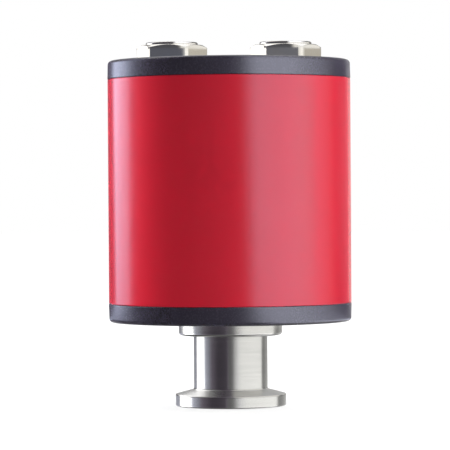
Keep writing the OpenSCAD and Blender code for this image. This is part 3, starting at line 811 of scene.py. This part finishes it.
@dataclass
class CableSocket(SubAssembly):
    """A round cable socket with the screw thread inside its rim."""

    side: Side
    thread_slot: ClassVar[str] = "socket_nickel"
    pitch: float = 1.0 * MM
    ridge_depth: float = 0.54 * MM
    ridge_root: float = 0.86 * MM
    ridge_crest: float = 0.25 * MM
    bore_radius: float = 6.0 * MM
    sunk: float = 0.03 * MM
    mouth_drop: float = 0.85 * MM
    thread_length: float = 9.0 * MM
    steps_per_turn: int = 64
    run_out_turns: float = 0.4
    run_out_share: float = 0.04

    @property
    def name(self) -> str:
        """Returns the start of the names of the socket's pieces."""
        return f"{self.side.value}_socket"

    def finishes(self) -> Dressing:
        """Returns the socket's finishes."""
        return {
            SOCKET_NICKEL: (f"{self.name}_shell", f"{self.name}_nut"),
            INSERT_PLASTIC: (f"{self.name}_insert",),
            CONTACT_GOLD: (f"{self.name}_contacts",),
            SEAL_RUBBER: (f"{self.name}_seal",),
        }

    def build(self) -> list[Piece]:
        """Builds the thread's ridge inside the rim.

        Returns:
            The ridge, as the only piece.
        """
        low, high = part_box(f"{self.name}_insert")
        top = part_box(f"{self.name}_shell")[1].z - self.mouth_drop
        ridge = bmesh.new()
        rings = [[ridge.verts.new(p) for p in ring] for ring in self._rings((low + high) / 2, top)]
        for first, second in zip(rings, rings[1:]):
            for i in range(len(first)):
                j = (i + 1) % len(first)
                ridge.faces.new((first[i], first[j], second[j], second[i])).smooth = True
        ridge.faces.new(rings[0][::-1])
        ridge.faces.new(rings[-1])
        bmesh.ops.recalc_face_normals(ridge, faces=ridge.faces)
        piece = show_mesh(f"{self.name}_thread", ridge, SOCKET_NICKEL.material())
        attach(piece, BODY)
        return [piece]

    def _rings(self, axis: Vector, top: float) -> Iterator[list[Vector]]:
        """Yields the section of the ridge along its helix.

        Args:
            axis: A point on the socket's axis.
            top: The height of the thread's upper end.

        Yields:
            The four corners of the section at each step.
        """
        turns = self.thread_length / self.pitch
        steps = round(turns * self.steps_per_turn)
        for step in range(steps + 1):
            turn = step / self.steps_per_turn
            share = min(1.0, turn / self.run_out_turns, (turns - turn) / self.run_out_turns)
            depth = self.ridge_depth * max(self.run_out_share, share)
            height = top - turn * self.pitch
            along, across = (wave(2 * math.pi * turn) for wave in (math.cos, math.sin))
            yield [
                Vector((axis.x + radius * along, axis.y + radius * across, height + lift))
                for radius, lift in (
                    (self.bore_radius + self.sunk, self.ridge_root / 2),
                    (self.bore_radius + self.sunk, -self.ridge_root / 2),
                    (self.bore_radius - depth, -self.ridge_crest / 2),
                    (self.bore_radius - depth, self.ridge_crest / 2),
                )
            ]


def heading(degrees: float) -> Vector:
    """Returns the level unit vector at an angle from the camera's side, with the right positive."""
    angle = math.radians(degrees)
    return Vector((math.sin(angle), -math.cos(angle), 0.0))


@dataclass(frozen=True)
class SoftBox:
    """A flat soft light at a direction and with a breadth in degrees, as seen from the gauge."""

    name: str
    direction: float
    breadth: float
    radiance: float
    colour: Colour
    distance: float = 0.5
    bottom: float = 0.002
    height: float = 0.9

    def build(self) -> Piece:
        """Builds the light, facing the gauge.

        Returns:
            The light.
        """
        width = 2 * self.distance * math.tan(math.radians(self.breadth / 2))
        lamp = bpy.data.lights.new(self.name, "AREA")
        lamp.shape = "RECTANGLE"
        lamp.size = width
        lamp.size_y = self.height
        lamp.energy = self.radiance * math.pi * width * self.height
        lamp.color = self.colour
        light = bpy.data.objects.new(self.name, lamp)
        outward = heading(self.direction)
        light.location = outward * self.distance + Vector((0, 0, self.bottom + self.height / 2))
        light.rotation_euler = outward.to_track_quat("Z", "Y").to_euler()
        light.visible_camera = False
        light.visible_glossy = False
        bpy.context.scene.collection.objects.link(light)
        return light


@dataclass(frozen=True)
class ToneMap:
    """The tones of one side of a card, by direction and height.

    Each set of tones holds colours at directions in degrees, in rising order, from behind the
    card's centre round by the left, the camera and the right, and back. A tone without a tint is
    plain. The tones at the foot of the span pass into those at its head.
    """

    foot: Tones
    head: Tones | None = None
    span: Span = (0.0, 1.0)
    peak: ClassVar[float] = 4.0

    def glow(self, graph: Graph) -> Socket:
        """Adds the glow to a material.

        Args:
            graph: The material's graph.

        Returns:
            The glow's shader.
        """
        x, y, z = graph.add("ShaderNodeSeparateXYZ", {0: graph.place()}).outputs
        angle = graph.math("ARCTAN2", x, graph.math("MULTIPLY", y, -1.0))
        turn = graph.spread(angle, (-math.pi, math.pi))
        colour = self._ramp(graph, turn, self.foot)
        if self.head:
            colour = graph.mix(graph.spread(z, self.span), colour, self._ramp(graph, turn, self.head))
        return graph.add("ShaderNodeEmission", {"Color": colour, "Strength": self.peak}).outputs[0]

    def _ramp(self, graph: Graph, turn: Socket, tones: Tones) -> Socket:
        """Adds a colour ramp.

        Args:
            graph: The material's graph.
            turn: The direction, from 0 behind the centre to 1 after a full turn.
            tones: The colours of the ramp.

        Returns:
            The colour, as a share of the peak.
        """
        ramp = graph.add("ShaderNodeValToRGB", {0: turn})
        stops = ramp.color_ramp.elements
        ends = {0.0: 0, 1.0: -1}
        for direction, tone, *tint in tones:
            spot = (direction + 180.0) / 360.0
            stop = stops[ends[spot]] if spot in ends else stops.new(spot)
            stop.color = rgba(tuple(tone / self.peak * part for part in (tint or (PLAIN,))[0]))
        return ramp.outputs[0]


@dataclass(frozen=True)
class ReflectionBand:
    """A ring of card round the gauge, or round one of its sockets, that shows only in gloss.

    The profile holds radii and heights, and the face lies to the left of it as it is drawn. A
    card without a back is clear from behind.
    """

    name: str
    profile: tuple[Span, ...]
    face: ToneMap
    back: ToneMap | None = None
    centre: Span = (0.0, 0.0)
    segments: int = 180
    blind_rays: ClassVar[tuple[str, ...]] = ("camera", "diffuse", "transmission", "volume_scatter", "shadow")

    def build(self) -> Piece:
        """Builds the ring.

        Returns:
            The ring.
        """
        ring = bmesh.new()
        rows = []
        for step in range(self.segments):
            out = heading(360.0 * step / self.segments - 180.0)
            rows.append([ring.verts.new(out * r + Vector((0, 0, z))) for r, z in self.profile])
        for first, second in zip(rows, rows[1:] + rows[:1]):
            for i in range(len(self.profile) - 1):
                ring.faces.new((first[i], first[i + 1], second[i + 1], second[i]))
        piece = show_mesh(self.name, ring, self._material())
        piece.location = (*self.centre, 0.0)
        for ray in self.blind_rays:
            setattr(piece, f"visible_{ray}", False)
        return piece

    def _material(self) -> Material:
        """Makes the ring's material, whose tone follows the direction.

        Returns:
            The material.
        """
        made = bpy.data.materials.new(self.name)
        graph = Graph(empty_tree(made))
        if self.back:
            behind = self.back.glow(graph)
        else:
            behind = graph.add("ShaderNodeBsdfTransparent").outputs[0]
        turned = graph.add("ShaderNodeNewGeometry").outputs["Backfacing"]
        sided = graph.add("ShaderNodeMixShader", {0: turned, 1: self.face.glow(graph), 2: behind})
        graph.add("ShaderNodeOutputMaterial", {"Surface": sided.outputs[0]})
        return made


COOL: Colour = (0.97, 1.0, 1.16)
ICE: Colour = (0.93, 1.0, 1.28)
DUSK: Colour = (1.06, 0.92, 1.14)
WARM: Colour = (1.0, 1.0, 0.97)
BEIGE: Colour = (1.0, 0.96, 0.86)
PLAIN: Colour = (1.0, 1.0, 1.0)


def lit(tones: Tones, gain: float) -> Tones:
    """Returns tones with more or less light on them."""
    return tuple((direction, gain * tone, *tint) for direction, tone, *tint in tones)


def hexagon_tones(front: float, tint: Colour, flank: Span) -> Tones:
    """Returns the tones round a hexagon, with its own front face and right flank."""
    return (
        (-180, 0.5), (-115, 0.9), (-105, 1.8), (-55, 1.8), (-45, 0.9),
        (-38, front, tint), (15, front, tint), (22, 1.3, WARM), (49, 1.35, WARM), (53, flank[0], BEIGE),
        (95, flank[1], BEIGE), (110, 0.5), (180, 0.5),
    )


HOUSING_HEAD: Tones = (
    (-180, 0.22), (-170, 0.17, DUSK), (-156, 0.14, DUSK), (-145, 0.2, DUSK), (-141, 1.6, ICE),
    (-137, 3.7, ICE), (-125, 3.1, ICE), (-112, 2.7, ICE), (-108, 1.5, ICE), (-102, 0.78, ICE),
    (-95, 0.5, COOL), (-85, 0.25, DUSK), (-68, 0.11, DUSK), (-45, 0.08, DUSK), (-7, 0.19, DUSK),
    (0, 0.2, DUSK), (5, 0.23, DUSK), (10, 0.48), (15, 1.25, COOL), (20, 2.3, COOL), (25, 3.05, COOL),
    (60, 2.75, COOL), (72, 2.15, COOL), (85, 1.6, COOL), (98, 1.1, COOL), (108, 0.68), (114, 0.3),
    (119, 0.07), (143, 0.1, DUSK), (154, 0.58), (168, 0.5), (180, 0.22),
)
HOUSING_FOOT: Tones = (
    (-180, 0.3), (-170, 0.15, DUSK), (-156, 0.09, DUSK), (-145, 0.12, DUSK), (-139, 0.3, ICE),
    (-134, 1.95, ICE), (-125, 1.85, ICE), (-112, 2.0, ICE), (-108, 1.1, ICE), (-102, 0.4, ICE),
    (-95, 0.18, DUSK), (-85, 0.1, DUSK), (-68, 0.08, DUSK), (-45, 0.07, DUSK), (-20, 0.10, DUSK),
    (-7, 0.13, DUSK), (0, 0.14, DUSK), (8, 0.18, DUSK), (13, 0.32), (18, 1.0, COOL), (23, 2.2, COOL),
    (28, 3.25, COOL), (60, 3.2, COOL), (72, 2.55, COOL), (85, 1.9, COOL), (98, 1.2, COOL), (108, 0.7),
    (116, 0.22), (124, 0.04), (145, 0.14, DUSK), (157, 0.65), (180, 0.3),
)
COLLAR_TONES: Tones = (
    (-180, 0.46), (-162, 0.38), (-151, 0.1), (-141, 0.12), (-134, 0.6), (-128, 1.7), (-103, 1.7),
    (-94, 0.28, COOL), (-87, 0.1, COOL), (-73, 0.05, DUSK), (-57, 0.03, DUSK), (-20, 0.03, DUSK),
    (-8, 0.05, DUSK), (8, 0.06, DUSK), (16, 0.08), (19.5, 0.2), (22, 0.72), (26, 0.92, WARM),
    (34, 1.04, WARM), (97, 1.1, WARM), (113, 1.03, WARM), (117, 0.45, WARM), (120, 0.16, WARM),
    (127, 0.2, WARM), (139, 0.78, WARM), (150, 0.7, WARM), (180, 0.46),
)
PORT_TONES: Tones = (
    (-180, 0.42), (-150, 0.25, COOL), (-136, 0.3, COOL), (-131, 0.7), (-127, 1.8), (-94, 1.8),
    (-88, 0.55, COOL), (-84, 0.39, COOL), (-73, 0.24, COOL), (-62, 0.11, DUSK), (-50, 0.065, DUSK),
    (-40, 0.04, DUSK), (-28, 0.04, DUSK), (-15, 0.05, DUSK), (-11, 0.055, DUSK), (-9, 0.12, DUSK),
    (-6, 0.105), (0, 0.11), (7, 0.19), (12, 0.4), (19, 0.59), (34, 0.73, WARM), (80, 0.79, WARM),
    (97, 0.8, WARM), (109, 0.79, WARM), (114, 0.42, WARM), (118, 0.2, WARM), (134, 0.23, WARM),
    (150, 0.32, WARM), (180, 0.42),
)
UPPER_TONES: Tones = (
    (-180, 0.3), (-140, 0.4), (-110, 0.8, ICE), (-85, 0.2, DUSK), (-65, 0.08, DUSK), (8, 0.08, DUSK),
    (16, 0.8, COOL), (26, 2.6, COOL), (70, 2.3, COOL), (95, 0.7, COOL), (110, 0.2), (140, 0.2),
    (180, 0.3),
)
OVERHEAD_TONES: Tones = (
    (-180, 1.75), (-130, 1.4), (-100, 0.6), (-70, 0.14, DUSK), (10, 0.14, DUSK), (28, 2.2, COOL),
    (75, 2.0, COOL), (105, 0.8), (130, 0.9), (180, 1.75),
)
UNDER_TONES: Tones = (
    (-180, 0.3), (-163, 0.4), (-155, 1.3), (-135, 1.9), (-95, 1.9), (-86, 1.0), (-75, 0.55),
    (-50, 0.22), (-25, 0.11, DUSK), (0, 0.2, DUSK), (10, 0.7, WARM), (20, 0.9, WARM), (110, 0.95, WARM),
    (125, 0.55), (180, 0.5),
)
TAPER_TONES: Tones = (
    (-180, 0.28), (-163, 0.28), (-158, 0.6), (-154, 1.3), (-133, 1.9), (-93, 1.9), (-86, 1.25),
    (-78, 0.9), (-57, 0.42), (-37, 0.17, DUSK), (-19, 0.09, DUSK), (0, 0.13, DUSK), (7, 0.36),
    (13, 1.02, BEIGE), (30, 1.02, BEIGE), (80, 0.98, BEIGE), (110, 0.92, BEIGE), (125, 0.55),
    (150, 0.46), (180, 0.42),
)
FLOOR_TONES: Tones = (
    (-180, 0.16), (-60, 0.14), (30, 0.16), (90, 0.5), (113, 1.2), (133, 0.5), (160, 0.25), (180, 0.16),
)
HEXAGON_TONES: dict[Side, Tones] = {
    Side.LEFT: hexagon_tones(0.134, ICE, (0.68, 0.64)),
    Side.RIGHT: hexagon_tones(0.19, COOL, (0.6, 0.6)),
}
SOCKET_RIM_TONES: Tones = (
    (-180, 0.4), (-112, 0.5), (-101, 2.2), (-77, 2.2), (-70, 0.1, COOL), (5, 0.1, COOL),
    (9, 1.08, WARM), (60, 1.1, WARM), (92, 1.15, WARM), (101, 0.5), (112, 0.2), (180, 0.4),
)


@dataclass(frozen=True)
class ReflectionCards:
    """The cards whose light shows in the caps, the port and the sockets.

    Far rings stand round the gauge from the floor to overhead. Dividers part what the port shows
    from what the housing shows. They run from the far rings to a card close under the lower cap.
    A small ring stands round each socket. The blends are heights between which tones pass over.
    """

    far: float = 3.0
    axis_gap: float = 0.001
    floor_height: float = -2.5
    port_foot: float = -1.2
    collar_foot: float = -0.14
    housing_foot: float = -0.111
    housing_head: float = 0.8
    upper_head: float = 2.5
    crown: float = 4.0
    divider_joint: Span = (0.16, 0.0167)
    card_radius: float = 33.5 * MM
    card_hole: float = 14.3 * MM
    card_drop: float = 0.4 * MM
    socket_ring_radius: float = 12.5 * MM
    socket_ring_lift: float = 0.2 * MM
    socket_ring_rise: float = 0.8 * MM
    rim_blend: Span = (-0.199, -0.186)
    rim_gain: float = 2.1
    collar_blend: Span = (-0.126, -0.123)
    taper_blend: Span = (21.1 * MM, 21.9 * MM)
    divider_gain: float = 0.7
    housing_blend: Span = (-0.1, 0.25)
    crown_blend: Span = (3.3, 3.7)
    crown_gain: float = 0.3
    hexagon_drop: float = 1.8 * MM
    rim_drop: float = 1.6 * MM

    def bands(self) -> list[ReflectionBand]:
        """Returns all the cards."""
        return [*self._port_bands(), *self._housing_bands(), *(self._socket_band(side) for side in Side)]

    def _port_bands(self) -> list[ReflectionBand]:
        """Lays out the cards that the port shows.

        Returns:
            The cards, from the floor up.
        """
        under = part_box("lower_cap")[0].z - self.card_drop
        port = (self.far, self.port_foot)
        floor = ((self.axis_gap, self.floor_height), (self.far, self.floor_height), port)
        collar = (self.far, self.collar_foot)
        outer_edge = (self.far, self.housing_foot)
        inner_edge = (self.card_radius, under)
        rim_tones = ToneMap(lit(PORT_TONES, self.rim_gain), PORT_TONES, self.rim_blend)
        collar_tones = ToneMap(PORT_TONES, COLLAR_TONES, self.collar_blend)
        taper_tones = ToneMap(COLLAR_TONES, TAPER_TONES, self.taper_blend)
        above = ToneMap(lit(HOUSING_FOOT, self.divider_gain))
        return [
            ReflectionBand("floor_reflections", floor, ToneMap(FLOOR_TONES)),
            ReflectionBand("port_reflections", (port, collar), rim_tones),
            ReflectionBand("collar_reflections", (collar, outer_edge), collar_tones),
            ReflectionBand("outer_divider", (outer_edge, self.divider_joint), ToneMap(PORT_TONES), above),
            ReflectionBand("inner_divider", (self.divider_joint, inner_edge), taper_tones, above),
            ReflectionBand("under_cap_card", (inner_edge, (self.card_hole, under)), ToneMap(UNDER_TONES)),
        ]

    def _housing_bands(self) -> list[ReflectionBand]:
        """Lays out the cards that the caps and the sleeve show.

        Returns:
            The cards, from the dividers up.
        """
        foot, head, top = ((self.far, z) for z in (self.housing_foot, self.housing_head, self.upper_head))
        tones = ToneMap(HOUSING_FOOT, HOUSING_HEAD, self.housing_blend)
        crown_tones = ToneMap(OVERHEAD_TONES, lit(OVERHEAD_TONES, self.crown_gain), self.crown_blend)
        return [
            ReflectionBand("housing_reflections", (foot, head), tones),
            ReflectionBand("upper_reflections", (head, top), ToneMap(UPPER_TONES)),
            ReflectionBand("overhead_reflections", (top, (self.axis_gap, self.crown)), crown_tones),
        ]

    def _socket_band(self, side: Side) -> ReflectionBand:
        """Lays out the card round a cable socket.

        Args:
            side: The socket's side.

        Returns:
            The card.
        """
        low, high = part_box(f"{side.value}_socket_shell")
        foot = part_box("upper_cap")[1].z + self.socket_ring_lift
        heights = (foot, high.z + self.socket_ring_rise)
        blend = (high.z - self.hexagon_drop, high.z - self.rim_drop)
        return ReflectionBand(
            f"{side.value}_socket_reflections",
            tuple((self.socket_ring_radius, z) for z in heights),
            ToneMap(HEXAGON_TONES[side], SOCKET_RIM_TONES, blend),
            centre=((low.x + high.x) / 2, (low.y + high.y) / 2),
        )


@dataclass
class Studio:
    """The table, the white surroundings, the lamps, the reflections and the camera."""

    table_radius: float = 4.0
    table_segments: int = 96
    table_drop: float = 0.02 * MM
    near_glow: float = 0.80
    far_glow: float = 1.0
    near_reach: float = 0.08
    far_reach: float = 0.45
    table_white: float = 0.6
    own_share: float = 0.31
    fill: float = 0.3
    camera_place: tuple[float, float, float] = (0.0, -0.7768, 0.05584)
    camera_aim: tuple[float, float, float] = (-0.0013, 0.0, 0.0489)
    camera_roll: float = -0.0066
    lens_mm: float = 229.2
    sensor_mm: float = 36.0
    cards: ReflectionCards = ReflectionCards()
    lamps: ClassVar[tuple[SoftBox, ...]] = (
        SoftBox("left_softbox", -118, 16, 26.0, (0.98, 0.98, 1.0)),
        SoftBox("right_softbox", 74, 20, 7.9, (1.0, 0.99, 0.98)),
        SoftBox("rear_softbox", 136, 24, 16.5, (1.0, 0.99, 0.98)),
    )

    def build(self) -> None:
        """Builds the studio."""
        self._surround()
        self._table()
        for part in (*self.lamps, *self.cards.bands()):
            LOG.info("studio: %s", part.build().name)
        self._camera()

    @staticmethod
    def _seen(graph: Graph) -> Socket:
        """Tells rays that show the surroundings from rays that only light the gauge.

        Args:
            graph: The graph of a material or the world.

        Returns:
            1 for rays that show the surroundings, and 0 for the others.
        """
        rays = graph.add("ShaderNodeLightPath").outputs
        bent = graph.math("MAXIMUM", rays["Is Glossy Ray"], rays["Is Transmission Ray"])
        return graph.math("MAXIMUM", rays["Is Camera Ray"], bent)

    def _surround(self) -> None:
        """Makes surroundings that look white and light the gauge softly."""
        world = bpy.data.worlds.new("white studio")
        graph = Graph(empty_tree(world))
        strength = graph.spread(self._seen(graph), (0.0, 1.0), (self.fill, 1.0))
        air = graph.add("ShaderNodeBackground", {"Color": rgba(PLAIN), "Strength": strength})
        graph.add("ShaderNodeOutputWorld", {"Surface": air.outputs[0]})
        bpy.context.scene.world = world

    def _table(self) -> None:
        """Makes a pale table with a painted glow, weaker near the gauge, that fades into the white
        surroundings and keeps the gauge's shadow.
        """
        made = bpy.data.materials.new("pale table")
        graph = Graph(empty_tree(made))
        reach = graph.add("ShaderNodeVectorMath", {0: graph.place()}, operation="LENGTH").outputs["Value"]
        # Painted light: the table's glow is weaker near the gauge, so the floor near its foot reads darker
        # and the gauge's shadow shows there.
        glow = graph.spread(reach, (self.near_reach, self.far_reach), (self.near_glow, self.far_glow))
        white = scaled(PLAIN, self.table_white)
        own = graph.add("ShaderNodeBsdfDiffuse", {"Color": rgba(scaled(white, self.own_share))})
        shine = graph.add("ShaderNodeEmission", {"Color": rgba(PLAIN), "Strength": glow})
        shown = graph.add("ShaderNodeAddShader", {0: own.outputs[0], 1: shine.outputs[0]})
        plain = graph.add("ShaderNodeBsdfDiffuse", {"Color": rgba(white)})
        shaders = {0: self._seen(graph), 1: plain.outputs[0], 2: shown.outputs[0]}
        picked = graph.add("ShaderNodeMixShader", shaders)
        graph.add("ShaderNodeOutputMaterial", {"Surface": picked.outputs[0]})
        disc = bmesh.new()
        bmesh.ops.create_circle(disc, cap_ends=True, segments=self.table_segments, radius=self.table_radius)
        table = show_mesh("table", disc, made)
        table.location.z = -self.table_drop
        table.visible_glossy = False

    def _camera(self) -> None:
        """Makes the camera where the photographer stood."""
        data = bpy.data.cameras.new("camera")
        data.lens = self.lens_mm
        data.sensor_width = self.sensor_mm
        camera = bpy.data.objects.new("camera", data)
        place = Vector(self.camera_place)
        view = (Vector(self.camera_aim) - place).to_track_quat("-Z", "Y")
        roll = Euler((0.0, 0.0, self.camera_roll)).to_quaternion()
        camera.location = place
        camera.rotation_euler = (view @ roll).to_euler()
        bpy.context.scene.collection.objects.link(camera)
        bpy.context.scene.camera = camera


def main() -> None:
    """Loads the CAD frame, dresses it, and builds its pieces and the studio."""
    logging.basicConfig(level=logging.INFO, format="%(name)s: %(message)s")
    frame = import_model()
    bpy.context.scene.view_settings.view_transform = "Standard"
    groups: tuple[SubAssembly, ...] = (
        VacuumPort(),
        SensorCell(),
        Housing(),
        BoardStack(),
        CableSocket(Side.LEFT),
        CableSocket(Side.RIGHT),
    )
    for group in groups:
        group.dress(frame["nodes"])
        for piece in group.build():
            LOG.info("%s: built %s", type(group).__name__, piece.name)
    Studio().build()


if __name__ == "__main__":
    main()
